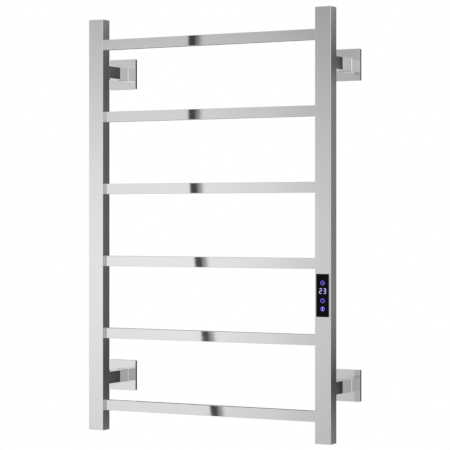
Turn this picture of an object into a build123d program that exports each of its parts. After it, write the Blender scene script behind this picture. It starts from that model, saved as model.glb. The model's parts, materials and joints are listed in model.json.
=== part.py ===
"""Electric towel warmer rack: two posts, six bars, four wall brackets and a touch control.

Frame: millimetres, X to the right, Z up, the wall is the plane Y = 0 and the front faces -Y.
The origin is the centre of the wall-fixing pattern, on the wall, half way up the rack.
"""
from build123d import *
import os

# ---- Driving dimensions: overall ------------------------------------------------------------
overall_width = 520.0          # outer side of one post to outer side of the other
overall_height = 800.0         # length of a post
wall_distance = 106.0          # wall to the posts' front faces

# ---- Posts and bars -------------------------------------------------------------------------
post_width = 32.0
post_depth = 25.0
post_wall = 1.2
post_corner = 0.6              # outer corner radius of the drawn tube
tube_inner_corner = 0.3        # inner corner radius of the posts and bars
bar_count = 6
bar_height = 20.0
bar_depth = 10.0
bar_wall = 1.0
bar_corner = 0.6
bar_margin = 39.0              # post end to the edge of the nearest bar
cap_plate = 2.5                # end cap: plate flush with the tube's end
cap_skirt = 9.0                # end cap: length of the skirt inside the tube
cap_wall = 1.5
cap_clearance = 0.15

# ---- Wall brackets --------------------------------------------------------------------------
bracket_from_end = 100.0       # post end to the bracket's centre
stem_size = 24.0
stem_wall = 2.0
stem_corner = 0.5
stem_end_gap = 0.5             # stem's free end to the wall base
base_thickness = 4.0
base_corner = 3.0
spigot_length = 22.0
spigot_clearance = 0.1
cable_bore_radius = 5.0
fixing_radius = 2.75           # clearance hole for the wall screw
fixing_head_radius = 5.0       # countersink for its head
cover_size = 60.0
cover_depth = 5.5
cover_wall = 1.2
cover_corner = 1.2
cover_edge = 0.3               # rounding round the cover's front face
cover_base_gap = 3.8           # cover's wall to the wall base
cover_clearance = 0.2          # cover's square hole to the stem
rim_width = 1.2                # turned-out rim round that hole
rim_height = 1.3
rim_edge = 1.1                 # chamfer round the rim's front edge
screw_radius = 2.0             # M4 countersunk retaining screw
screw_length = 6.0
screw_head_radius = 3.8
screw_head_depth = 1.8
screw_clearance = 0.1
thread_clearance = 0.05
screw_from_wall = 15.0
socket_radius = 1.1
socket_depth = 1.4

# ---- Control panel in the right post --------------------------------------------------------
panel_side_margin = 1.8        # post's side to the bezel
panel_height = 81.2
panel_above_mid_gap = 12.4     # panel's centre above the middle of its gap between bars
panel_corner = 2.8
bezel_width = 1.2
bezel_proud = 1.0
glass_thickness = 0.9
tray_lip = 3.4                 # bezel's outer edge to the tray's side
tray_wall = 1.2
tray_rear_gap = 1.5            # tray's back to the post's back wall
tray_clearance = 0.2           # tray to the cut-out in the post
film_thickness = 0.3
mask_thickness = 2.5
board_thickness = 1.2
board_gap = 0.3                # a board's edge to the tray
display_board_rise = 4.0       # display board's lower edge above the tray's floor
power_key_up = 22.5            # keys and digits, from the panel's centre
digits_up = 7.8
timer_key_down = 10.2
heat_key_down = 25.2
key_radius = 4.6
window_margin = 1.1            # digits' window to the mask's side
digits_height = 11.0
led_size = 1.6
led_height = 1.0
relay_size = (10.0, 9.0, 16.0)             # across, deep, tall
capacitor_size = (9.0, 7.0, 13.0)
reservoir_radius = 3.5
reservoir_length = 12.0
part_gap = 2.0                 # between parts on the power board
terminal_height = 7.0
terminal_margin = 1.5
header_size = (8.0, 2.5)       # across and tall; it spans the two boards
clip_width = 6.0
clip_depth = 5.0
clip_offset = 3.4              # across from the post's centre
clip_barb = 1.5
board_screw_radius = 1.0
board_screw_head_radius = 1.8
board_screw_head = 0.9
board_screw_inset = 2.6
board_screw_bite = 0.6         # how far the screws go into the tray's back

# ---- Heating circuit and leads --------------------------------------------------------------
cable_radius = 2.0             # silicone-jacketed heating cable
cable_bend = 16.0
cable_tight_bend = 10.0
return_bend = 20.0
link_offset = 3.0              # cable's run up a post, outwards of the post's centre
return_offset = 8.0
splice_radius = 2.6
splice_length = 14.0
splice_above_bar = 12.6
cold_lead_radius = 1.0
first_lead_offset = -1.5       # across from the post's centre
second_lead_offset = 5.0
supply_radius = 2.5
supply_side_gap = 1.1          # supply lead to the tray's side
supply_forward = 5.0
supply_gentle_bend = 36.0
supply_bend = 9.0
supply_drop = 46.0             # where the supply lead starts to turn, above the bracket
stem_hole_radius = 7.0
terminal_block_height = 11.0
terminal_block_length = 18.0
terminal_block_gap = 0.3
terminal_block_from_spigot = 8.0
wire_way_radius = 2.2
wire_way_spacing = 6.2
clamp_radius = 1.4
clamp_length = 3.5
grommet_length = 6.0
grommet_bore = 3.6
earth_from_end = 22.0
earth_stud_radius = 2.0
earth_stud_length = 9.0
earth_stud_flange = 4.0
earth_flange_thickness = 0.8
earth_nut_across = 7.0
earth_nut_height = 3.2
earth_ring_radius = 4.0
earth_ring_thickness = 0.8
earth_lead_radius = 1.1
earth_lead_offset = 10.0
earth_lead_bend = 8.0
earth_lead_tight_bend = 2.2
earth_lead_drop = 3.5          # below the stem's centre line
sensor_size = (4.0, 4.0, 10.0)
sensor_below_tray = 20.0       # its middle
sensor_turns = 3               # the lead's rise in equal parts: straight, across, straight
sensor_lead_radius = 0.8
sensor_side_gap = 1.3          # sensor's lead to the tray's side
sensor_lead_bend = 3.0

# ---- Derived places -------------------------------------------------------------------------
half_height = overall_height / 2
post_x = (overall_width - post_width) / 2
front_y = -wall_distance
post_back_y = front_y + post_depth
post_mid_y = front_y + post_depth / 2
post_inner_width = post_width - 2 * post_wall
post_inner_depth = post_depth - 2 * post_wall
inner_back_y = post_back_y - post_wall
bar_pitch = (overall_height - 2 * bar_margin - bar_height) / (bar_count - 1)
top_bar_z = half_height - bar_margin - bar_height / 2
bar_z = [top_bar_z - number * bar_pitch for number in range(bar_count)]
bar_length = overall_width - 2 * post_width + 2 * post_wall
bracket_z = half_height - bracket_from_end
stem_inner = stem_size - 2 * stem_wall
stem_end_y = -(base_thickness + stem_end_gap)
spigot_size = stem_inner - 2 * spigot_clearance
spigot_end_y = -(base_thickness + spigot_length)
base_size = cover_size - 2 * (cover_wall + cover_base_gap)
fixing_offset = (stem_size + base_size) / 4
panel_width = post_width - 2 * panel_side_margin
gap_above = bar_count - 3
panel_z = (bar_z[gap_above] + bar_z[gap_above + 1]) / 2 + panel_above_mid_gap
tray_width = panel_width - 2 * tray_lip
tray_height = panel_height - 2 * tray_lip
tray_depth = post_depth - post_wall - tray_rear_gap
tray_back_y = front_y + tray_depth
tray_floor_z = panel_z - tray_height / 2 + tray_wall
tray_inner_width = tray_width - 2 * tray_wall
board_width = tray_inner_width - 2 * board_gap
digits_width = board_width - 2 * window_margin
film_back_y = front_y + film_thickness
display_board_y = film_back_y + mask_thickness
display_board_back_y = display_board_y + board_thickness
power_board_y = tray_back_y - tray_wall - board_thickness
terminal_foot_z = tray_floor_z + terminal_margin
splice_z = bar_z[-2] + splice_above_bar
first_lead_x = post_x + first_lead_offset
second_lead_x = post_x + second_lead_offset
supply_x = post_x - tray_inner_width / 2 + supply_side_gap + supply_radius
supply_y = post_mid_y - supply_forward
sensor_lead_x = post_x + tray_inner_width / 2 - sensor_side_gap - sensor_lead_radius
earth_z = -half_height + earth_from_end
corners = {
    "upper_left": (-post_x, bracket_z),
    "upper_right": (post_x, bracket_z),
    "lower_left": (-post_x, -bracket_z),
    "lower_right": (post_x, -bracket_z),
}


# ---- Shape helpers --------------------------------------------------------------------------
def upright(width, depth, height, radius):
    """A rounded prism that stands on Z = 0, centred on X and Y."""
    return extrude(RectangleRounded(width, depth, radius), height)


def crosswise(depth, height, length, radius):
    """A rounded prism along X, centred on the origin."""
    return Pos(-length / 2, 0, 0) * extrude(Plane.YZ * RectangleRounded(depth, height, radius), length)


def forward(width, height, depth, radius):
    """A rounded prism that starts at Y = 0 and reaches towards the front, centred on X and Z."""
    return extrude(Plane.XZ * RectangleRounded(width, height, radius), depth)


def plain_forward(width, height, depth):
    """A square-edged prism that starts at Y = 0 and reaches towards the front."""
    return extrude(Plane.XZ * Rectangle(width, height), depth)


def front_edges(shape):
    """The outer edges of a shape's foremost face."""
    return shape.faces().sort_by(Axis.Y)[0].outer_wire().edges()


def rod_forward(radius, depth):
    """A round rod that starts at Y = 0 and reaches towards the front."""
    return extrude(Plane.XZ * Circle(radius), depth)


def rod_up(radius, height):
    """A round rod that stands on Z = 0."""
    return extrude(Circle(radius), height)


def round_lead(points, radii, radius):
    """A round lead along straight runs joined by tangent arcs."""
    path = FilletPolyline(*points, radius=radii)
    section = Plane(origin=path @ 0, z_dir=path % 0) * Circle(radius)
    return sweep(section, path=path)


def write(name, shape):
    """Write one named piece."""
    solids = shape.solids()
    whole = solids[0] if len(solids) == 1 else Compound(children=list(solids))
    export_step(whole, os.path.join("parts", name + ".step"))


# ---- Posts, bars and caps -------------------------------------------------------------------
def bar_section(length):
    """A solid of the bar's outer section along X."""
    return crosswise(bar_depth, bar_height, length, bar_corner)


def bar_tube():
    """One flat bar, welded into the posts at both ends."""
    inner = crosswise(bar_depth - 2 * bar_wall, bar_height - 2 * bar_wall, bar_length, tube_inner_corner)
    return bar_section(bar_length) - inner


def post_tube(side):
    """One post: side is -1 for left and 1 for right."""
    outer = upright(post_width, post_depth, overall_height, post_corner)
    inner = upright(post_inner_width, post_inner_depth, overall_height, tube_inner_corner)
    tube = Pos(side * post_x, post_mid_y, -half_height) * (outer - inner)
    slot_x = side * (post_x - post_width / 2 + post_wall / 2)
    for height in bar_z:
        tube -= Pos(slot_x, post_mid_y, height) * bar_section(post_wall)
    return tube


def right_post_tube():
    """The right post, with the panel's cut-out and the lead's hole into the lower stem."""
    cutout_width = tray_width + 2 * tray_clearance
    cutout_height = tray_height + 2 * tray_clearance
    cutout = plain_forward(cutout_width, cutout_height, post_wall)
    tube = post_tube(1) - Pos(post_x, front_y + post_wall, panel_z) * cutout
    return tube - Pos(post_x, post_back_y, -bracket_z) * rod_forward(stem_hole_radius, post_wall)


def end_cap():
    """A push-in cap, plate at Z = 0 and skirt below it."""
    width = post_inner_width - 2 * cap_clearance
    depth = post_inner_depth - 2 * cap_clearance
    plug = upright(width, depth, cap_plate + cap_skirt, cap_wall)
    hollow = upright(width - 2 * cap_wall, depth - 2 * cap_wall, cap_skirt, cap_wall / 2)
    return Pos(0, 0, -cap_plate - cap_skirt) * (plug - hollow)


# ---- Wall brackets --------------------------------------------------------------------------
def bracket_stem():
    """A square stem from the post's back to just short of the wall base."""
    length = stem_end_y - post_back_y
    outer = forward(stem_size, stem_size, length, stem_corner)
    stem = Pos(0, stem_end_y, 0) * (outer - plain_forward(stem_inner, stem_inner, length))
    underside = Pos(0, -screw_from_wall, -stem_size / 2)
    stem -= underside * rod_up(screw_radius + screw_clearance, stem_wall)
    head = Cone(screw_head_radius + screw_clearance, screw_radius + screw_clearance, screw_head_depth)
    return stem - underside * Pos(0, 0, screw_head_depth / 2) * head


def wall_base():
    """The plate on the wall with its spigot, two countersunk holes and the cable bore."""
    plate = forward(base_size, base_size, base_thickness, base_corner)
    spigot = Pos(0, -base_thickness, 0) * plain_forward(spigot_size, spigot_size, spigot_length)
    base = plate + spigot - rod_forward(cable_bore_radius, base_thickness + spigot_length)
    sink = fixing_head_radius - fixing_radius
    for side in (-1, 1):
        hole = rod_forward(fixing_radius, base_thickness)
        cone = Rot(90, 0, 0) * Cone(fixing_radius, fixing_head_radius, sink)
        base -= Pos(side * fixing_offset, 0, 0) * hole
        base -= Pos(side * fixing_offset, -base_thickness + sink / 2, 0) * cone
    tapped = rod_up(screw_radius + thread_clearance, spigot_size / 2)
    return base - Pos(0, -screw_from_wall, -spigot_size / 2) * tapped


def retaining_screw():
    """A countersunk socket screw up through the stem's underside into the spigot."""
    head = Cone(screw_head_radius, screw_radius, screw_head_depth)
    screw = Pos(0, 0, screw_head_depth / 2) * head + rod_up(screw_radius, screw_length)
    return screw - extrude(RegularPolygon(socket_radius, 6), socket_depth)


def cover_plate():
    """The square cover that hides the wall base and slides on the stem, with a rim round its hole."""
    shell = forward(cover_size, cover_size, cover_depth, cover_corner)
    shell = fillet(front_edges(shell), cover_edge)
    inner = cover_size - 2 * cover_wall
    shell -= plain_forward(inner, inner, cover_depth - cover_wall)
    hole = stem_size + 2 * cover_clearance
    rim_size = hole + 2 * rim_width
    rim = Pos(0, -cover_depth, 0) * forward(rim_size, rim_size, rim_height, stem_corner + rim_width)
    shell += chamfer(front_edges(rim), rim_edge)
    return shell - forward(hole, hole, cover_depth + rim_height, stem_corner)


def cable_grommet():
    """The rubber sleeve that lines the supply cable's way in."""
    sleeve = rod_forward(cable_bore_radius, grommet_length)
    return sleeve - rod_forward(grommet_bore, grommet_length)


# ---- Control panel --------------------------------------------------------------------------
def panel_place(depth):
    """The panel's centre line, at a depth behind the post's front face."""
    return Pos(post_x, front_y + depth, panel_z)


def bezel():
    """The bright frame round the glass, bonded to the post's face."""
    outer = forward(panel_width, panel_height, bezel_proud, panel_corner)
    inner_width = panel_width - 2 * bezel_width
    inner_height = panel_height - 2 * bezel_width
    inner = forward(inner_width, inner_height, bezel_proud, panel_corner - bezel_width)
    return panel_place(0) * (outer - inner)


def touch_glass():
    """The black touch glass in its frame."""
    width = panel_width - 2 * bezel_width
    height = panel_height - 2 * bezel_width
    return panel_place(0) * forward(width, height, glass_thickness, panel_corner - bezel_width)


def key_places():
    """Heights of the three keys about the panel's centre, from the top down."""
    return (power_key_up, -timer_key_down, -heat_key_down)


def windowed_sheet(thickness):
    """A sheet across the tray with a window for each key and one for the digits."""
    height = tray_height - 2 * (tray_wall + board_gap)
    sheet = plain_forward(board_width, height, thickness)
    for place in key_places():
        sheet -= Pos(0, 0, place) * rod_forward(key_radius, thickness)
    return sheet - Pos(0, 0, digits_up) * plain_forward(digits_width, digits_height, thickness)


def key_leds():
    """One light behind each key."""
    light = plain_forward(led_size, led_size, led_height)
    return Compound(children=[Pos(post_x, display_board_y, panel_z + z) * light for z in key_places()])


def digit_display():
    """The two-digit light module, in the mask's window."""
    body = plain_forward(digits_width - 2 * board_gap, digits_height - 2 * board_gap, mask_thickness)
    return Pos(post_x, display_board_y, panel_z + digits_up) * body


def control_tray():
    """The open box that holds the boards inside the post."""
    outer = plain_forward(tray_width, tray_height, tray_depth)
    inner = plain_forward(tray_inner_width, tray_height - 2 * tray_wall, tray_depth - tray_wall)
    tray = Pos(post_x, tray_back_y, panel_z) * outer
    tray -= Pos(post_x, tray_back_y - tray_wall, panel_z) * inner
    for x, y, radius in lead_ways():
        tray -= Pos(x, y, tray_floor_z - tray_wall) * rod_up(radius, tray_wall)
    for hole in tray_screw_holes():
        tray -= hole
    return tray


def lead_ways():
    """Places and radii of the holes in the tray's floor."""
    return (
        (first_lead_x, post_mid_y, cold_lead_radius),
        (second_lead_x, post_mid_y, cold_lead_radius),
        (supply_x, supply_y, supply_radius),
        (sensor_lead_x, supply_y, sensor_lead_radius),
    )


def board(y, low_z, high_z):
    """A plain circuit board across the tray, with its front face at y."""
    height = high_z - low_z
    blank = plain_forward(board_width, height, board_thickness)
    return Pos(post_x, y + board_thickness, (low_z + high_z) / 2) * blank


def board_top():
    """The highest place of a board's edge."""
    return panel_z + tray_height / 2 - tray_wall - board_gap


def display_board():
    """The board behind the mask."""
    return board(display_board_y, tray_floor_z + display_board_rise, board_top())


def power_board():
    """The board on the tray's back, drilled for its screws."""
    blank = board(power_board_y, tray_floor_z + board_gap, board_top())
    for x, z in board_screw_places():
        blank -= Pos(x, power_board_y + board_thickness, z) * rod_forward(board_screw_radius, board_thickness)
    return blank


def board_screw_places():
    """The power board's four screws."""
    low_z = tray_floor_z + terminal_margin + terminal_height + board_screw_inset
    high_z = board_top() - board_screw_inset
    across = board_width / 2 - board_screw_inset
    return [(post_x + side * across, z) for side in (-1, 1) for z in (low_z, high_z)]


def board_screws():
    """Screws that hold the power board; they bite in the tray's back."""
    shank_length = board_thickness + board_screw_bite
    shank = rod_forward(board_screw_radius, shank_length)
    head = Pos(0, -shank_length, 0) * rod_forward(board_screw_head_radius, board_screw_head)
    screw = shank + head
    back_y = power_board_y + shank_length
    return Compound(children=[Pos(x, back_y, z) * screw for x, z in board_screw_places()])


def tray_screw_holes():
    """The blind holes in the tray's back for those screws."""
    hole = rod_forward(board_screw_radius, board_screw_bite)
    back_y = power_board_y + board_thickness + board_screw_bite
    return [Pos(x, back_y, z) * hole for x, z in board_screw_places()]


def on_power_board(size, low_z):
    """A box of across, deep, tall on the power board's front, standing on low_z."""
    across, deep, tall = size
    return Pos(post_x, power_board_y, low_z + tall / 2) * plain_forward(across, tall, deep)


def tray_clip(side):
    """A spring clip behind the post's front wall: side is 1 above the tray and -1 below it."""
    barb = plain_forward(clip_width, clip_barb, clip_depth)
    z = panel_z + side * (tray_height / 2 + clip_barb / 2)
    return Pos(post_x + clip_offset, front_y + post_wall + clip_depth, z) * barb


# ---- Heating circuit and leads --------------------------------------------------------------
def heating_cable():
    """One cable through every bar: up in pairs of bars, then back down the left post."""
    y = post_mid_y
    link_x = post_x + link_offset
    return_x = -(post_x + return_offset)
    side = -1
    points = [(first_lead_x, y, splice_z), (first_lead_x, y, bar_z[-2])]
    radii = [cable_tight_bend]
    for lower, upper in zip(bar_z[-2:0:-1], bar_z[-3::-1]):
        points += [(side * link_x, y, lower), (side * link_x, y, upper)]
        radii += [cable_bend, cable_bend]
        side = -side
    points += [(return_x, y, bar_z[0]), (return_x, y, bar_z[-1])]
    points += [(second_lead_x, y, bar_z[-1]), (second_lead_x, y, splice_z)]
    radii += [return_bend, return_bend, cable_bend]
    return round_lead(points, radii, cable_radius)


def splice(x):
    """A sealed sleeve where the heating cable meets its cold lead."""
    return Pos(x, post_mid_y, splice_z) * rod_up(splice_radius, splice_length)


def cold_leads():
    """The two unheated leads from the splices to the terminals in the tray."""
    start = splice_z + splice_length
    lead = rod_up(cold_lead_radius, terminal_foot_z - start)
    return Compound(children=[Pos(x, post_mid_y, start) * lead for x in (first_lead_x, second_lead_x)])


def supply_lead():
    """The sheathed lead from the control down the post and into the lower right stem."""
    block_y = terminal_block_y()
    points = [
        (supply_x, supply_y, terminal_foot_z),
        (supply_x, supply_y, -bracket_z + supply_drop),
        (post_x, post_mid_y, -bracket_z),
        (post_x, block_y, -bracket_z),
    ]
    return round_lead(points, [supply_gentle_bend, supply_bend], supply_radius)


def terminal_block_y():
    """The end of the terminal block that faces the post."""
    return spigot_end_y - terminal_block_from_spigot - terminal_block_length


def terminal_block():
    """The three-way block inside the stem, open at both ends."""
    width = stem_inner - 2 * terminal_block_gap
    body = plain_forward(width, terminal_block_height, terminal_block_length)
    reach = terminal_block_length / 2 - clamp_radius
    for side in (-1, 0, 1):
        body -= Pos(side * wire_way_spacing, 0, 0) * rod_forward(wire_way_radius, reach)
        clamp = Pos(side * wire_way_spacing, -terminal_block_length / 2, clamp_foot())
        body -= clamp * rod_up(clamp_radius, clamp_length)
    return Pos(post_x, terminal_block_y() + terminal_block_length, -bracket_z) * body


def clamp_foot():
    """Where a clamp screw starts, above the block's middle."""
    return terminal_block_height / 2 - clamp_length


def clamp_screws():
    """The block's three clamp screws, a little below its top."""
    y = terminal_block_y() + terminal_block_length / 2
    screw = rod_up(clamp_radius, clamp_length - board_gap)
    places = [side * wire_way_spacing for side in (-1, 0, 1)]
    return Compound(children=[Pos(post_x + x, y, -bracket_z + clamp_foot()) * screw for x in places])


def earth_stud():
    """The stud welded inside the post's back wall, near its lower end."""
    flange = rod_forward(earth_stud_flange, earth_flange_thickness)
    return Pos(post_x, inner_back_y, earth_z) * (flange + rod_forward(earth_stud_radius, earth_stud_length))


def earth_ring():
    """The ring terminal on the stud, with the barrel that grips the earth lead."""
    washer = rod_forward(earth_ring_radius, earth_ring_thickness)
    tongue = plain_forward(2 * earth_ring_radius, earth_ring_radius, earth_ring_thickness)
    blank = washer + Pos(earth_ring_radius, 0, 0) * tongue - rod_forward(earth_stud_radius, earth_ring_thickness)
    return Pos(post_x, inner_back_y - earth_flange_thickness, earth_z) * blank


def earth_nut():
    """The nut that holds the ring."""
    outer = extrude(Plane.XZ * RegularPolygon(earth_nut_across / 2, 6, major_radius=False), earth_nut_height)
    y = inner_back_y - earth_flange_thickness - earth_ring_thickness
    return Pos(post_x, y, earth_z) * (outer - rod_forward(earth_stud_radius, earth_nut_height))


def earth_lead():
    """The lead from the terminal block's end down to the ring."""
    ring_front_y = inner_back_y - earth_flange_thickness - earth_ring_thickness
    x = post_x + 2 * earth_ring_radius - earth_lead_radius
    y = ring_front_y - earth_lead_radius
    stem_x = post_x + wire_way_spacing - 2 * earth_lead_radius
    points = [
        (x, y, earth_z - earth_ring_radius / 2),
        (x, y, -bracket_z - earth_lead_offset),
        (stem_x, y, -bracket_z - earth_lead_drop),
        (stem_x, terminal_block_y(), -bracket_z - earth_lead_drop),
    ]
    return round_lead(points, [earth_lead_bend, earth_lead_tight_bend], earth_lead_radius)


def temperature_sensor():
    """The sensor, held against the post's outer side wall below the tray."""
    across, deep, tall = sensor_size
    x = post_x + post_inner_width / 2 - across / 2
    z = tray_floor_z - tray_wall - sensor_below_tray
    return Pos(x, supply_y + deep / 2, z) * plain_forward(across, tall, deep)


def sensor_lead():
    """The thin lead from the sensor up into the tray."""
    across, _, tall = sensor_size
    x = post_x + post_inner_width / 2 - across / 2
    start_z = tray_floor_z - tray_wall - sensor_below_tray + tall / 2
    turn = (tray_floor_z - tray_wall - start_z) / sensor_turns
    points = [
        (x, supply_y, start_z),
        (x, supply_y, start_z + turn),
        (sensor_lead_x, supply_y, start_z + 2 * turn),
        (sensor_lead_x, supply_y, terminal_foot_z),
    ]
    return round_lead(points, [sensor_lead_bend, sensor_lead_bend], sensor_lead_radius)


# ---- Write every piece ----------------------------------------------------------------------
os.makedirs("parts", exist_ok=True)

write("left_post_tube", post_tube(-1))
write("right_post_tube", right_post_tube())
for number, height in enumerate(bar_z, start=1):
    write(f"bar_tube_{number}", Pos(0, post_mid_y, height) * bar_tube())
for side_name, side in (("left", -1), ("right", 1)):
    write(f"{side_name}_top_cap", Pos(side * post_x, post_mid_y, half_height) * end_cap())
    flipped = Pos(side * post_x, post_mid_y, -half_height) * Rot(180, 0, 0) * end_cap()
    write(f"{side_name}_bottom_cap", flipped)

for corner, (x, z) in corners.items():
    write(f"{corner}_bracket_stem", Pos(x, 0, z) * bracket_stem())
    write(f"{corner}_wall_base", Pos(x, 0, z) * wall_base())
    write(f"{corner}_cover_plate", Pos(x, 0, z) * cover_plate())
screws = [Pos(x, -screw_from_wall, z - stem_size / 2) * retaining_screw() for x, z in corners.values()]
write("stem_retaining_screws", Compound(children=screws))
write("cable_grommet", Pos(post_x, 0, -bracket_z) * cable_grommet())

write("panel_bezel", bezel())
write("touch_glass", touch_glass())
write("touch_film", panel_place(film_thickness) * windowed_sheet(film_thickness))
write("light_mask", panel_place(film_thickness + mask_thickness) * windowed_sheet(mask_thickness))
write("key_lights", key_leds())
write("digit_display", digit_display())
write("display_board", display_board())
write("control_tray", control_tray())
write("power_board", power_board())
write("power_board_screws", board_screws())
terminal_depth = power_board_y - display_board_back_y - terminal_margin
terminal_size = (board_width, terminal_depth, terminal_height)
write("lead_terminals", on_power_board(terminal_size, terminal_foot_z))
relay_z = terminal_foot_z + terminal_height + 2 * board_screw_inset + part_gap
write("relay", on_power_board(relay_size, relay_z))
capacitor_z = relay_z + relay_size[2] + part_gap
write("dropper_capacitor", on_power_board(capacitor_size, capacitor_z))
reservoir_z = capacitor_z + capacitor_size[2] + part_gap
reservoir_place = Pos(post_x, power_board_y - reservoir_radius, reservoir_z)
write("reservoir_capacitor", reservoir_place * rod_up(reservoir_radius, reservoir_length))
header_depth = power_board_y - display_board_back_y
header_z = reservoir_z + reservoir_length + part_gap
write("board_header", on_power_board((header_size[0], header_depth, header_size[1]), header_z))
write("tray_clips", Compound(children=[tray_clip(1), tray_clip(-1)]))

write("heating_cable", heating_cable())
write("thermal_cutout", splice(first_lead_x))
write("cold_lead_splice", splice(second_lead_x))
write("cold_leads", cold_leads())
write("supply_lead", supply_lead())
write("terminal_block", terminal_block())
write("terminal_clamp_screws", clamp_screws())
write("earth_stud", earth_stud())
write("earth_ring_terminal", earth_ring())
write("earth_nut", earth_nut())
write("earth_lead", earth_lead())
write("temperature_sensor", temperature_sensor())
write("sensor_lead", sensor_lead())
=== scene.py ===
"""Electric towel warmer rack: the finishes, the lit signs, the weld beads and the studio."""
import json
import math

import bmesh
import bpy
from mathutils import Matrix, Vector


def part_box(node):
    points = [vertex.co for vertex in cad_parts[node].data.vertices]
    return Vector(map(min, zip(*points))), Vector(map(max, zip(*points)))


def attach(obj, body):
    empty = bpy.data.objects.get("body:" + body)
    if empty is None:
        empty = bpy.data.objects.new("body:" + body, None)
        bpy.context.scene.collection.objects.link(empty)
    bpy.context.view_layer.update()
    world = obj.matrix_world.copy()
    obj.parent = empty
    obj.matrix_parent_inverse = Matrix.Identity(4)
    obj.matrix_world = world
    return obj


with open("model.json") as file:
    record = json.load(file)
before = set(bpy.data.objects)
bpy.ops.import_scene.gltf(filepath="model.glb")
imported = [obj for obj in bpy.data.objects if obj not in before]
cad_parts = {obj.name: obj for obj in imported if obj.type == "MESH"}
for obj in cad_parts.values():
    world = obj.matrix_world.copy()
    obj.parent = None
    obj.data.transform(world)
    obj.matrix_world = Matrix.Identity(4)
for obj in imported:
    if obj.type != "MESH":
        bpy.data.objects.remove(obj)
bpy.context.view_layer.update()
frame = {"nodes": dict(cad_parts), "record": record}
nodes = frame["nodes"]
MM = 0.001

# ---- Camera ---------------------------------------------------------------------------------
camera_place = Vector((1.672, -3.159, 0.013))
camera_turn = math.radians(28.1)     # to the left of straight at the wall
camera_lens = 147.45                 # mm, on a 36 mm wide frame
camera_shift = (-0.0003, -0.0150)    # the frame is moved, so that the uprights stay upright


def make_camera():
    """A level camera to the right of the rack, at about its middle height."""
    data = bpy.data.cameras.new("studio_camera")
    data.sensor_width = 36.0
    data.lens = camera_lens
    data.shift_x, data.shift_y = camera_shift
    data.clip_end = 60.0
    camera = bpy.data.objects.new("studio_camera", data)
    camera.location = camera_place
    camera.rotation_euler = (math.pi / 2, 0.0, camera_turn)
    bpy.context.scene.collection.objects.link(camera)
    bpy.context.scene.camera = camera


make_camera()
bpy.context.scene.view_settings.view_transform = "Standard"


# ---- Node helpers ---------------------------------------------------------------------------
def linear(colour):
    """An sRGB hex colour as linear red, green, blue and alpha."""
    values = [int(colour[place:place + 2], 16) / 255 for place in (1, 3, 5)]
    return [v / 12.92 if v <= 0.04045 else ((v + 0.055) / 1.055) ** 2.4 for v in values] + [1.0]


def add(tree, kind, inputs=None, **settings):
    """Add a node, set its attributes, and set or link its inputs by name or by number."""
    made = tree.nodes.new(kind)
    for name, value in settings.items():
        setattr(made, name, value)
    for name, value in (inputs or {}).items():
        if isinstance(value, bpy.types.NodeSocket):
            tree.links.new(value, made.inputs[name])
        else:
            made.inputs[name].default_value = value
    return made


def new_material(name, **shader_inputs):
    """A material with only its Principled shader; returns the material, its tree and the shader."""
    material = bpy.data.materials.new(name)
    material.use_nodes = True
    tree = material.node_tree
    shader = tree.nodes["Principled BSDF"]
    for socket, value in shader_inputs.items():
        shader.inputs[socket.replace("_", " ")].default_value = value
    return material, tree, shader


def grain(tree, length_mm, width_mm, axis, seed=0.0):
    """Noise drawn out along one axis: each streak is length_mm long and width_mm wide."""
    scale = [1 / (width_mm * MM)] * 3
    if axis is not None:
        scale[axis] = 1 / (length_mm * MM)
    place = add(tree, "ShaderNodeTexCoord").outputs["Object"]
    stretched = add(tree, "ShaderNodeMapping", {"Vector": place, "Scale": scale, "Location": (seed,) * 3})
    noise = add(tree, "ShaderNodeTexNoise", {"Vector": stretched.outputs[0], "Scale": 1.0, "Detail": 3.0})
    return noise.outputs["Fac"]


# most of a pattern's values lie in this span, which is spread over the whole of a finish's range
noise_span = {"From Min": 0.25, "From Max": 0.75}


def dress(tree, shader, tone, colours, gloss, roughness, skin=None, depth_mm=0.0):
    """Lets patterns shape a surface: tone moves the colour, gloss the roughness and skin the relief."""
    blend = {"Factor": tone, 6: linear(colours[0]), 7: linear(colours[1])}
    colour = add(tree, "ShaderNodeMix", blend, data_type="RGBA").outputs[2]
    tree.links.new(colour, shader.inputs["Base Color"])
    spread = {"Value": gloss, "To Min": roughness[0], "To Max": roughness[1], **noise_span}
    rough = add(tree, "ShaderNodeMapRange", spread).outputs["Result"]
    tree.links.new(rough, shader.inputs["Roughness"])
    if skin is not None:
        bump = add(tree, "ShaderNodeBump", {"Height": skin, "Distance": depth_mm * MM})
        tree.links.new(bump.outputs["Normal"], shader.inputs["Normal"])


# ---- Metals ---------------------------------------------------------------------------------
steel_tones = ("#cfcecf", "#d4d3d4")      # buffed 304 stainless, from its duller to its brighter patches
mirror_roughness = (0.03, 0.06)


def polished_steel(name, axis, roughness, relief_mm, streak_mm=1.4):
    """304 stainless tube, ground and then buffed along its length.

    The eye gets soft reflections that are a little longer along the tube, and a faint cloudiness
    where the mop pressed harder. The real streaks are about 0.2 mm wide, too fine to show, so they
    are drawn streak_mm wide.
    """
    material, tree, shader = new_material(name, Metallic=1.0)
    streaks = grain(tree, 90.0, streak_mm, axis)
    clouds = grain(tree, 140.0, 45.0, axis, seed=3.0)
    both = add(tree, "ShaderNodeMath", {0: streaks, 1: clouds}, operation="ADD").outputs[0]
    half = add(tree, "ShaderNodeMath", {0: both, 1: 0.5}, operation="MULTIPLY").outputs[0]
    dress(tree, shader, clouds, steel_tones, half, roughness, streaks, relief_mm)
    return material


def mirror_steel(name):
    """304 stainless, pressed and mirror polished: clear reflections with faint wiping marks."""
    material, tree, shader = new_material(name, Metallic=1.0)
    wipes = grain(tree, 30.0, 6.0, 0, seed=7.0)
    dress(tree, shader, wipes, steel_tones, wipes, mirror_roughness)
    return material


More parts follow.
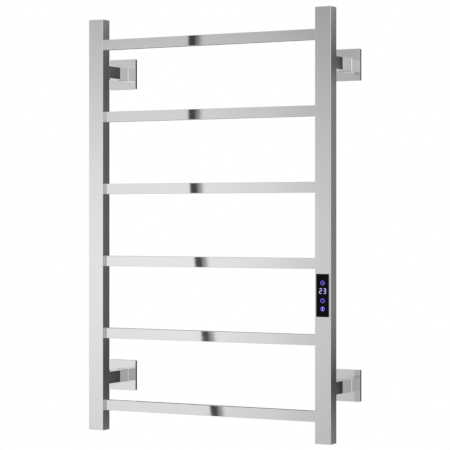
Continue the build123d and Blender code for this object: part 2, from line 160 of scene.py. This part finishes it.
def plain_metal(name, colours, roughness, grain_mm, depth_mm=0.004):
    """A small turned, plated or pressed metal piece: soft sheen with a fine uneven skin."""
    material, tree, shader = new_material(name, Metallic=1.0)
    skin = grain(tree, grain_mm, grain_mm, None)
    dress(tree, shader, skin, colours, skin, roughness, skin, depth_mm)
    return material


# ---- Glass, plastics, rubber ----------------------------------------------------------------
def moulded(name, colours, roughness, grain_mm, depth_mm=0.01):
    """A moulded, dipped or extruded piece: a fine even texture and slightly uneven gloss."""
    material, tree, shader = new_material(name)
    skin = grain(tree, grain_mm, grain_mm, None)
    dress(tree, shader, skin, colours, skin, roughness, skin, depth_mm)
    return material


def black_glass():
    """Back-painted tempered glass with a low-reflection coat: deep black with faint finger marks."""
    material, tree, shader = new_material("black_painted_glass")
    shader.inputs["Specular IOR Level"].default_value = 0.05
    marks = grain(tree, 9.0, 9.0, None, seed=2.0)
    dress(tree, shader, marks, ("#050506", "#09080b"), marks, (0.05, 0.13))
    return material


def lit_sign(name, deep, bright, strength):
    """A window in the glass's paint, lit from behind: the tone drifts a little across each sign."""
    material, tree, shader = new_material(name, Roughness=0.4)
    drift = grain(tree, 3.0, 3.0, None, seed=5.0)
    share = add(tree, "ShaderNodeMapRange", {"Value": drift, **noise_span}).outputs["Result"]
    blend = {"Factor": share, 6: linear(deep), 7: linear(bright)}
    glow = add(tree, "ShaderNodeMix", blend, data_type="RGBA").outputs[2]
    tree.links.new(glow, shader.inputs["Emission Color"])
    shader.inputs["Base Color"].default_value = linear("#100c1c")
    shader.inputs["Emission Strength"].default_value = strength
    return material


def circuit_board():
    """Glass-epoxy board under green solder mask: copper tracks show as slightly lighter lines."""
    material, tree, shader = new_material("green_solder_mask")
    place = add(tree, "ShaderNodeTexCoord").outputs["Object"]
    cells = {"Vector": place, "Scale": 1 / (2.5 * MM)}
    tracks = add(tree, "ShaderNodeTexVoronoi", cells, distance="CHEBYCHEV").outputs["Distance"]
    lines = add(tree, "ShaderNodeMapRange", {"Value": tracks, **noise_span}).outputs["Result"]
    dress(tree, shader, lines, ("#1d5a2e", "#123c20"), lines, (0.25, 0.42), lines, 0.03)
    return material


# each finish: its two colours, its range of roughness, and its pattern's size and relief in mm;
# a polished tube has the axis that it was polished along, its range of roughness and its relief
finishes = {
    "post_steel": polished_steel("buffed_steel_upright", 2, (0.08, 0.12), 0.0004),
    "bar_steel": polished_steel("buffed_steel_bar", 0, (0.012, 0.028), 0.00003),
    "stem_steel": mirror_steel("mirror_steel_stem"),
    "cover_steel": mirror_steel("mirror_steel_cover"),
    "cap_steel": polished_steel("buffed_steel_cap", 0, (0.08, 0.12), 0.0004),
    "zinc_steel": plain_metal("zinc_plated_base", ("#9aa0a6", "#b4b8ba"), (0.32, 0.48), 1.5),
    "screw_steel": plain_metal("bright_zinc_screw", ("#a3a6a8", "#b9bbbc"), (0.25, 0.38), 0.4),
    "screw_brass": plain_metal("turned_brass", ("#b4974e", "#c9ae66"), (0.24, 0.36), 0.4),
    "tinned_brass": plain_metal("tinned_brass_tag", ("#b5b2a8", "#c6c3ba"), (0.3, 0.42), 0.6),
    "spring_steel": plain_metal("sprung_steel_strip", ("#83868a", "#9a9da0"), (0.3, 0.42), 0.6),
    "bezel_chrome": plain_metal("satin_steel_frame", ("#cbcacb", "#d3d2d3"), (0.12, 0.18), 0.8, 0.0005),
    "cutout_metal": plain_metal("crimped_tin_can", ("#b1a88e", "#c4bca4"), (0.3, 0.42), 0.6),
    "black_glass": black_glass(),
    "clear_film": moulded("printed_polyester_film", ("#8a6a34", "#9c7b41"), (0.25, 0.35), 0.8, 0.002),
    "black_plastic": moulded("moulded_black_pbt", ("#17181a", "#1e1f22"), (0.42, 0.55), 0.5),
    "display_white": moulded("potted_display", ("#8e8f92", "#a2a3a6"), (0.3, 0.4), 0.7),
    "violet_led": lit_sign("violet_led_lens", "#5f45d0", "#8b74f0", 1.0),
    "green_board": circuit_board(),
    "green_plastic": moulded("moulded_green_polyamide", ("#2a7a4a", "#348a56"), (0.4, 0.5), 0.6),
    "blue_plastic": moulded("moulded_blue_relay", ("#26508c", "#2f5d9c"), (0.4, 0.5), 0.6),
    "capacitor_red": moulded("dipped_red_epoxy", ("#7c2a1e", "#903528"), (0.2, 0.32), 1.2),
    "capacitor_black": moulded("shrunk_black_sleeve", ("#1b1c22", "#26272e"), (0.25, 0.35), 1.0),
    "silicone_white": moulded("white_silicone_jacket", ("#c6c4be", "#d2d0ca"), (0.5, 0.62), 1.0),
    "silicone_black": moulded("black_silicone_jacket", ("#141414", "#1c1c1c"), (0.5, 0.62), 1.0),
    "white_plastic": moulded("moulded_natural_polyamide", ("#d5d2c6", "#dedbd0"), (0.4, 0.5), 0.8),
    "earth_green": moulded("green_silicone_jacket", ("#4c8a2c", "#5a9936"), (0.5, 0.6), 1.0),
    "sensor_epoxy": moulded("potted_sensor", ("#242426", "#303032"), (0.35, 0.45), 0.8),
    "black_rubber": moulded("moulded_epdm_rubber", ("#161616", "#202020"), (0.6, 0.75), 0.6),
}

for part in frame["record"]["subparts"]:
    skin = nodes[part["node"]]
    skin.data.materials.clear()
    skin.data.materials.append(finishes[part["material_slot"]])


# ---- Piece helpers --------------------------------------------------------------------------
def make_piece(name, mesh_builder, material, smooth=False):
    """A closed mesh piece that rides on the rack."""
    data = bpy.data.meshes.new(name)
    bmesh.ops.recalc_face_normals(mesh_builder, faces=mesh_builder.faces)
    mesh_builder.to_mesh(data)
    mesh_builder.free()
    if smooth:
        data.shade_smooth()
    data.materials.append(material)
    piece = bpy.data.objects.new(name, data)
    bpy.context.scene.collection.objects.link(piece)
    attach(piece, "rack")
    return piece


# ---- Signs on the glass ---------------------------------------------------------------------
glass_low, glass_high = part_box("touch_glass")
glass_centre = (glass_low + glass_high) / 2
sign_proud = 0.05 * MM                    # how far a sign stands out of the glass, so that it shows
sign_sunk = 0.2 * MM                      # how far it goes into the glass
sign_front = glass_low.y - sign_proud
sign_back = glass_low.y + sign_sunk


def add_outline(builder, points):
    """A flat sign stroke: a closed outline of (across, up) points in mm from the panel's centre."""
    rings = []
    for depth in (sign_front, sign_back):
        places = [Vector((glass_centre.x + x * MM, depth, glass_centre.z + z * MM)) for x, z in points]
        rings.append([builder.verts.new(place) for place in places])
    front, back = rings
    builder.faces.new(front)
    builder.faces.new(back[::-1])
    for number in range(len(points)):
        after = (number + 1) % len(points)
        builder.faces.new((front[after], front[number], back[number], back[after]))


def add_arc(builder, centre, outer, inner, start=0.0, turn=360.0, steps=48):
    """A flat arc stroke, clockwise from straight up, in short spans that don't overlap."""
    closed = turn >= 360.0
    count = max(3, round(steps * turn / 360.0))
    columns = []
    for step in range(count + (0 if closed else 1)):
        angle = math.radians(start + turn * step / count)
        column = []
        for radius in (outer, inner):
            x = glass_centre.x + (centre[0] + radius * math.sin(angle)) * MM
            z = glass_centre.z + (centre[1] + radius * math.cos(angle)) * MM
            for depth in (sign_front, sign_back):
                column.append(builder.verts.new((x, depth, z)))
        columns.append(column)
    pairs = list(zip(columns, columns[1:]))
    if closed:
        pairs.append((columns[-1], columns[0]))
    for one, two in pairs:
        for low, high in ((0, 1), (1, 3), (3, 2), (2, 0)):
            builder.faces.new((one[low], one[high], two[high], two[low]))
    if not closed:
        for column in (columns[0], columns[-1]):
            builder.faces.new((column[0], column[1], column[3], column[2]))


def add_stroke(builder, start, end, width):
    """A straight stroke with pointed ends, as in a segment display."""
    run = Vector(end) - Vector(start)
    along = run.normalized() * (width / 2)
    side = Vector((-along.y, along.x))
    a, b = Vector(start), Vector(end)
    add_outline(builder, [a, a + along + side, b - along + side, b, b - along - side, a + along - side])


# the signs' sizes, and their heights above the middle of the glass, in mm
ring_outer = 4.15
ring_inner = 3.4
power_arc_outer = 2.15
power_arc_inner = 1.75
power_gap = 70.0                          # degrees left open at the top of the power sign's arc
power_stroke_low = 0.6
power_stroke_high = 2.9
power_stroke_width = 0.5
power_up = 22.9
digits_up = 8.1
timer_up = -9.6
heat_up = -24.6
digit_height = 8.9
digit_width = 4.4
digit_apart = 8.3
digits_across = -0.1
segment_width = 1.2
segment_gap = 0.12


def digit_segments(shown, middle):
    """The strokes of one digit, named a to g as on any segment display."""
    left, right = middle - digit_width / 2, middle + digit_width / 2
    top, bottom = digits_up + digit_height / 2, digits_up - digit_height / 2
    corners = {
        "a": ((left, top), (right, top)),
        "b": ((right, top), (right, digits_up)),
        "c": ((right, digits_up), (right, bottom)),
        "d": ((left, bottom), (right, bottom)),
        "e": ((left, digits_up), (left, bottom)),
        "f": ((left, top), (left, digits_up)),
        "g": ((left, digits_up), (right, digits_up)),
    }
    for letter in shown:
        start, end = (Vector(corner) for corner in corners[letter])
        inward = (end - start).normalized() * segment_gap
        yield start + inward, end - inward


def clock_hands():
    """An outline of two hands, one straight up and one towards four o'clock."""
    minute_hand = [(-0.25, -0.4), (-0.25, 1.8), (0.25, 1.8), (0.25, 0.0)]
    hour_hand = [(1.3, -0.6), (1.05, -1.0), (0.0, -0.4)]
    return [(x, timer_up + z) for x, z in minute_hand + hour_hand]


def waisted_bar():
    """An outline of an upright bar that is narrow at its middle and wide at both ends."""
    right = [(1.6, 2.9), (1.0, 2.0), (0.65, 0.9), (0.6, 0.0), (0.65, -0.9), (1.0, -2.0), (1.6, -2.9)]
    left = [(-x, z) for x, z in right[::-1]]
    return [(x, heat_up + z) for x, z in right + left]


def make_signs():
    """Power, two digits, timer and heat, each lit from behind the glass."""
    glow = lit_sign("violet_backlit_sign", "#694ede", "#7f64f2", 1.4)
    bright_glow = lit_sign("lilac_backlit_digit", "#b094fa", "#c8b2ff", 1.35)

    power = bmesh.new()
    add_arc(power, (0, power_up), ring_outer, ring_inner)
    arc_start, arc_turn = power_gap / 2, 360.0 - power_gap
    add_arc(power, (0, power_up), power_arc_outer, power_arc_inner, start=arc_start, turn=arc_turn)
    foot, head = (0, power_up + power_stroke_low), (0, power_up + power_stroke_high)
    add_stroke(power, foot, head, power_stroke_width)
    make_piece("power_sign", power, glow)

    digits = bmesh.new()                  # a 2 and a 3
    tens = ("abged", digits_across - digit_apart / 2)
    units = ("abgcd", digits_across + digit_apart / 2)
    for shown, middle in (tens, units):
        for start, end in digit_segments(shown, middle):
            add_stroke(digits, start, end, segment_width)
    make_piece("temperature_digits", digits, bright_glow)

    timer = bmesh.new()
    add_arc(timer, (0, timer_up), ring_outer, ring_inner)
    add_outline(timer, clock_hands())
    make_piece("timer_sign", timer, glow)

    heat = bmesh.new()
    add_arc(heat, (0, heat_up), ring_outer, ring_inner)
    make_piece("heat_sign_ring", heat, glow)
    waist = bmesh.new()
    add_outline(waist, waisted_bar())
    make_piece("heat_sign_bar", waist, bright_glow)


make_signs()


# ---- Weld beads -----------------------------------------------------------------------------
bead_sides = 8                            # sides of a bead's round section


def rounded_outline(width, height, radius, steps=4):
    """A rounded rectangle as (across, up) points, in the same units as its sizes."""
    points = []
    for quarter in range(4):
        x = (1, -1, -1, 1)[quarter] * (width / 2 - radius)
        y = (1, 1, -1, -1)[quarter] * (height / 2 - radius)
        for step in range(steps + 1):
            angle = math.radians(90 * quarter + 90 * step / steps)
            points.append((x + radius * math.cos(angle), y + radius * math.sin(angle)))
    return points


def make_bead(name, centre, across, up, width, height, radius, bead_radius):
    """A ground-down bead of weld all round a joint, as a closed tube along its outline."""
    builder = bmesh.new()
    outward = across.cross(up)
    outline = rounded_outline(width, height, radius)
    rings = []
    for x, y in outline:
        place = centre + across * x + up * y
        away = (across * x / width + up * y / height).normalized()
        ring = []
        for step in range(bead_sides):
            angle = math.tau * step / bead_sides
            offset = away * math.cos(angle) + outward * math.sin(angle)
            ring.append(builder.verts.new(place + offset * bead_radius))
        rings.append(ring)
    for number, ring in enumerate(rings):
        after = rings[(number + 1) % len(rings)]
        for step in range(bead_sides):
            nearby = (step + 1) % bead_sides
            builder.faces.new((ring[step], ring[nearby], after[nearby], after[step]))
    make_piece(name, builder, finishes["stem_steel"], smooth=True)


bar_bead_radius = 0.3 * MM
stem_bead_radius = 0.35 * MM
bar_corner = 0.6 * MM
stem_corner = 0.5 * MM


def make_beads():
    """Beads where each bar meets a post and where each stem meets a post."""
    for side, post in ((-1, "left_post_tube"), (1, "right_post_tube")):
        low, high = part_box(post)
        face_x = high.x if side < 0 else low.x
        for number in range(1, 7):
            bar_low, bar_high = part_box(f"bar_tube_{number}")
            middle = (bar_low + bar_high) / 2
            size = bar_high - bar_low
            centre = Vector((face_x, middle.y, middle.z))
            name = f"bar_{number}_{'left' if side < 0 else 'right'}_weld"
            across, up = Vector((0, 1, 0)), Vector((0, 0, 1))
            make_bead(name, centre, across, up, size.y, size.z, bar_corner, bar_bead_radius)
    for corner in ("upper_left", "upper_right", "lower_left", "lower_right"):
        low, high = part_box(f"{corner}_bracket_stem")
        centre = Vector(((low.x + high.x) / 2, low.y, (low.z + high.z) / 2))
        size = high - low
        across, up = Vector((1, 0, 0)), Vector((0, 0, 1))
        make_bead(f"{corner}_stem_weld", centre, across, up, size.x, size.z, stem_corner, stem_bead_radius)


make_beads()


# ---- Studio ---------------------------------------------------------------------------------
def make_stage_card(name, centre, width, height, material):
    """An upright card that faces the rack and is seen only in reflections."""
    builder = bmesh.new()
    bmesh.ops.create_grid(builder, x_segments=1, y_segments=1, size=0.5)
    data = bpy.data.meshes.new(name)
    builder.to_mesh(data)
    builder.free()
    data.materials.append(material)
    card = bpy.data.objects.new(name, data)
    card.location = centre
    card.scale = (width, height, 1.0)
    flat = Vector((-centre[0], -centre[1], 0.0))
    card.rotation_euler = (math.pi / 2, 0.0, math.atan2(flat.y, flat.x) + math.pi / 2)
    card.visible_camera = False
    bpy.context.scene.collection.objects.link(card)
    return card


def glow_material(name):
    """An emission-only material for the studio; returns the material, its tree and the emitter."""
    material = bpy.data.materials.new(name)
    material.use_nodes = True
    tree = material.node_tree
    tree.nodes.remove(tree.nodes["Principled BSDF"])
    emitter = add(tree, "ShaderNodeEmission")
    tree.links.new(emitter.outputs[0], tree.nodes["Material Output"].inputs[0])
    return material, tree, emitter


# the studio's places and sizes are in metres
softbox_y = -5.2
softbox_left = -5.0
softbox_right = -1.0
softbox_height = 4.0
softbox_peak = 1.3
# the softbox's tone across it, and the share of that tone it keeps at each height
tone_across = (
    (-3.44, 1.215), (-3.24, 1.25), (-2.83, 1.25), (-2.69, 1.20),
    (-2.43, 1.10), (-2.30, 1.005), (-2.14, 0.92), (-1.9, 0.86),
)
share_up = (
    (-1.3, 0.79), (-1.04, 0.855), (-0.70, 0.93), (-0.45, 0.977), (-0.10, 0.99), (0.105, 0.952),
    (0.36, 0.868), (0.61, 0.77), (0.84, 0.68), (0.93, 0.64), (1.05, 0.59), (1.3, 0.51),
)
tone_span = (-3.6, -1.8)                  # where across the softbox its tone changes
share_span = (-1.4, 1.4)


def curve(tree, value, low, high, points, peak=1.0):
    """A smooth curve through (place, tone) points, as a ramp between low and high."""
    span = {"Value": value, "From Min": low, "From Max": high, "To Min": 0.0, "To Max": 1.0}
    place = add(tree, "ShaderNodeMapRange", span).outputs[0]
    shades = add(tree, "ShaderNodeValToRGB", {"Fac": place})
    stops = shades.color_ramp.elements
    while len(stops) < len(points):
        stops.new(0.5)
    for stop, (where, tone) in zip(stops, points):
        stop.position = (where - low) / (high - low)
        stop.color = (tone / peak, tone / peak, tone / peak, 1.0)
    return shades.outputs["Color"]


def softbox_material():
    """The big softbox: a soft fall of light with a stand's dark line across it."""
    material, tree, emitter = glow_material("softbox_glow")
    place = add(tree, "ShaderNodeNewGeometry").outputs["Position"]
    split = add(tree, "ShaderNodeSeparateXYZ", {0: place})
    across = curve(tree, split.outputs["X"], *tone_span, tone_across, softbox_peak)
    up = curve(tree, split.outputs["Z"], *share_span, share_up)
    tone = add(tree, "ShaderNodeMath", {0: across, 1: up}, operation="MULTIPLY").outputs[0]
    line = stand_line(tree, split)
    lit = add(tree, "ShaderNodeMath", {0: tone, 1: line}, operation="MULTIPLY").outputs[0]
    peak = add(tree, "ShaderNodeMath", {0: lit, 1: softbox_peak}, operation="MULTIPLY").outputs[0]
    tree.links.new(peak, emitter.inputs["Strength"])
    return material


line_x = -2.895              # the stand's left edge where it is upright
line_bend_top = 0.45         # below this height it leans to the right
line_lean = 0.0736
line_power = 1.6
# places to the right of the stand's edge, and the share of light left there
line_shades = (
    (-0.006, 1.0), (0.001, 0.07), (0.034, 0.07), (0.045, 0.34), (0.060, 0.42), (0.068, 0.72), (0.084, 1.0),
)
line_span = (-0.02, 0.10)


def stand_line(tree, split):
    """1 away from the stand's line, and less on it: crisp on the left, fading to the right."""
    across, height = split.outputs["X"], split.outputs["Z"]
    below = add(tree, "ShaderNodeMath", {0: line_bend_top, 1: height}, operation="SUBTRACT").outputs[0]
    bend = add(tree, "ShaderNodeMath", {0: below, 1: 0.0}, operation="MAXIMUM").outputs[0]
    raised = add(tree, "ShaderNodeMath", {0: bend, 1: line_power}, operation="POWER").outputs[0]
    lean = {0: raised, 1: line_lean, 2: line_x}
    edge = add(tree, "ShaderNodeMath", lean, operation="MULTIPLY_ADD").outputs[0]
    right_of = add(tree, "ShaderNodeMath", {0: across, 1: edge}, operation="SUBTRACT").outputs[0]
    return curve(tree, right_of, *line_span, line_shades)


# the right side faces mirror the right flag: the left post its left part, the right post its right part
right_flag_place = (0.80, 1.50, 0.0)
right_flag_width = 1.1
right_flag_height = 1.3
left_part_tones = (
    (-0.65, 0.22), (-0.59, 0.17), (-0.44, 0.125), (-0.30, 0.175), (0.0, 0.19),
    (0.36, 0.188), (0.43, 0.155), (0.48, 0.18), (0.53, 0.22), (0.60, 0.36),
)
right_part_tones = (
    (-0.65, 0.34), (-0.60, 0.325), (-0.546, 0.29), (-0.441, 0.115), (-0.319, 0.295), (-0.214, 0.38),
    (-0.05, 0.365), (0.257, 0.37), (0.370, 0.38), (0.443, 0.175), (0.525, 0.35), (0.60, 0.465),
)
flag_height_span = (-0.65, 0.65)
parts_meet = (0.80, 0.86)            # where across the flag one part becomes the other
# the covers and the stems mirror a strip to the left of what their post mirrors, and it is darker
strip_shades = (
    (0.60, 0.05), (0.717, 0.05), (0.729, 0.66), (0.765, 0.92), (0.775, 1.0),
    (0.82, 1.0), (0.86, 0.05), (0.927, 0.05), (0.933, 0.68), (0.955, 1.0),
)
strip_span = (0.5, 1.1)
flag_cloth = "#fffcf9"                    # the cloth is a little warmer than grey
left_flag_place = (-2.183, 3.406, 0.013)
left_flag_width = 1.43
left_flag_height = 0.6
left_flag_tone = 0.01


def right_flag_material():
    """Dark grey cloth, graded in height, that takes light away from the right side faces."""
    material, tree, emitter = glow_material("dark_flag_cloth")
    place = add(tree, "ShaderNodeNewGeometry").outputs["Position"]
    split = add(tree, "ShaderNodeSeparateXYZ", {0: place})
    left_part = curve(tree, split.outputs["Z"], *flag_height_span, left_part_tones)
    right_part = curve(tree, split.outputs["Z"], *flag_height_span, right_part_tones)
    span = {"Value": split.outputs["X"], "From Min": parts_meet[0], "From Max": parts_meet[1]}
    share = add(tree, "ShaderNodeMapRange", span).outputs[0]
    mixer = add(tree, "ShaderNodeMix", {0: share, 6: left_part, 7: right_part}, data_type="RGBA")
    strips = curve(tree, split.outputs["X"], *strip_span, strip_shades)
    tone = add(tree, "ShaderNodeMath", {0: mixer.outputs[2], 1: strips}, operation="MULTIPLY").outputs[0]
    tree.links.new(tone, emitter.inputs["Strength"])
    emitter.inputs["Color"].default_value = linear(flag_cloth)
    return material


def left_flag_material():
    """Black cloth, mirrored in the upper and lower faces of the bars and stems."""
    material, tree, emitter = glow_material("black_flag_cloth")
    emitter.inputs["Strength"].default_value = left_flag_tone
    return material


fill_distance = 3.2
fill_angles = (18.0, 95.0)           # round to the right from straight ahead of the rack
fill_height = 2.6
fill_near = {"From Min": -2.6, "From Max": -1.6, "To Min": 1.0, "To Max": 1.25}
fill_rise = {"From Min": -0.6, "From Max": 0.6, "To Min": 0.86, "To Max": 1.14}


def fill_material():
    """The right-hand fill: brighter towards its right end and its top."""
    material, tree, emitter = glow_material("right_fill_glow")
    place = add(tree, "ShaderNodeNewGeometry").outputs["Position"]
    split = add(tree, "ShaderNodeSeparateXYZ", {0: place})
    across = add(tree, "ShaderNodeMapRange", {"Value": split.outputs["Y"], **fill_near}).outputs[0]
    up = add(tree, "ShaderNodeMapRange", {"Value": split.outputs["Z"], **fill_rise}).outputs[0]
    tone = add(tree, "ShaderNodeMath", {0: across, 1: up}, operation="MULTIPLY").outputs[0]
    tree.links.new(tone, emitter.inputs["Strength"])
    return material


def make_fill():
    """A large card at the front right, square to its middle angle."""
    middle = math.radians((fill_angles[0] + fill_angles[1]) / 2)
    half = math.radians((fill_angles[1] - fill_angles[0]) / 2)
    centre = (fill_distance * math.sin(middle), -fill_distance * math.cos(middle), 0.0)
    make_stage_card("right_fill", centre, 2 * fill_distance * math.tan(half), fill_height, fill_material())


floor_radius = 1.3
floor_place = (0.0, -0.2, -0.85)


def make_floor():
    """A pale round floor below the rack."""
    builder = bmesh.new()
    bmesh.ops.create_circle(builder, cap_ends=True, segments=96, radius=floor_radius)
    data = bpy.data.meshes.new("studio_floor")
    builder.to_mesh(data)
    builder.free()
    material, tree, shader = new_material("pale_studio_floor", Roughness=0.6)
    shader.inputs["Base Color"].default_value = linear("#f0efee")
    data.materials.append(material)
    floor = bpy.data.objects.new("studio_floor", data)
    floor.location = floor_place
    bpy.context.scene.collection.objects.link(floor)


def make_world():
    """Even white light from all round."""
    world = bpy.data.worlds.new("white_studio")
    world.use_nodes = True
    backdrop = world.node_tree.nodes["Background"]
    backdrop.inputs["Color"].default_value = (1.0, 1.0, 1.0, 1.0)
    backdrop.inputs["Strength"].default_value = 1.0
    bpy.context.scene.world = world


def make_studio():
    """White surroundings, a large softbox at the front left, dark flags behind, and the floor."""
    make_world()
    middle = ((softbox_left + softbox_right) / 2, softbox_y, 0.0)
    width = softbox_right - softbox_left
    softbox = make_stage_card("softbox", middle, width, softbox_height, softbox_material())
    softbox.rotation_euler = (math.pi / 2, 0.0, 0.0)
    right_cloth, left_cloth = right_flag_material(), left_flag_material()
    make_stage_card("right_flag", right_flag_place, right_flag_width, right_flag_height, right_cloth)
    make_stage_card("left_flag", left_flag_place, left_flag_width, left_flag_height, left_cloth)
    make_fill()
    make_floor()


make_studio()
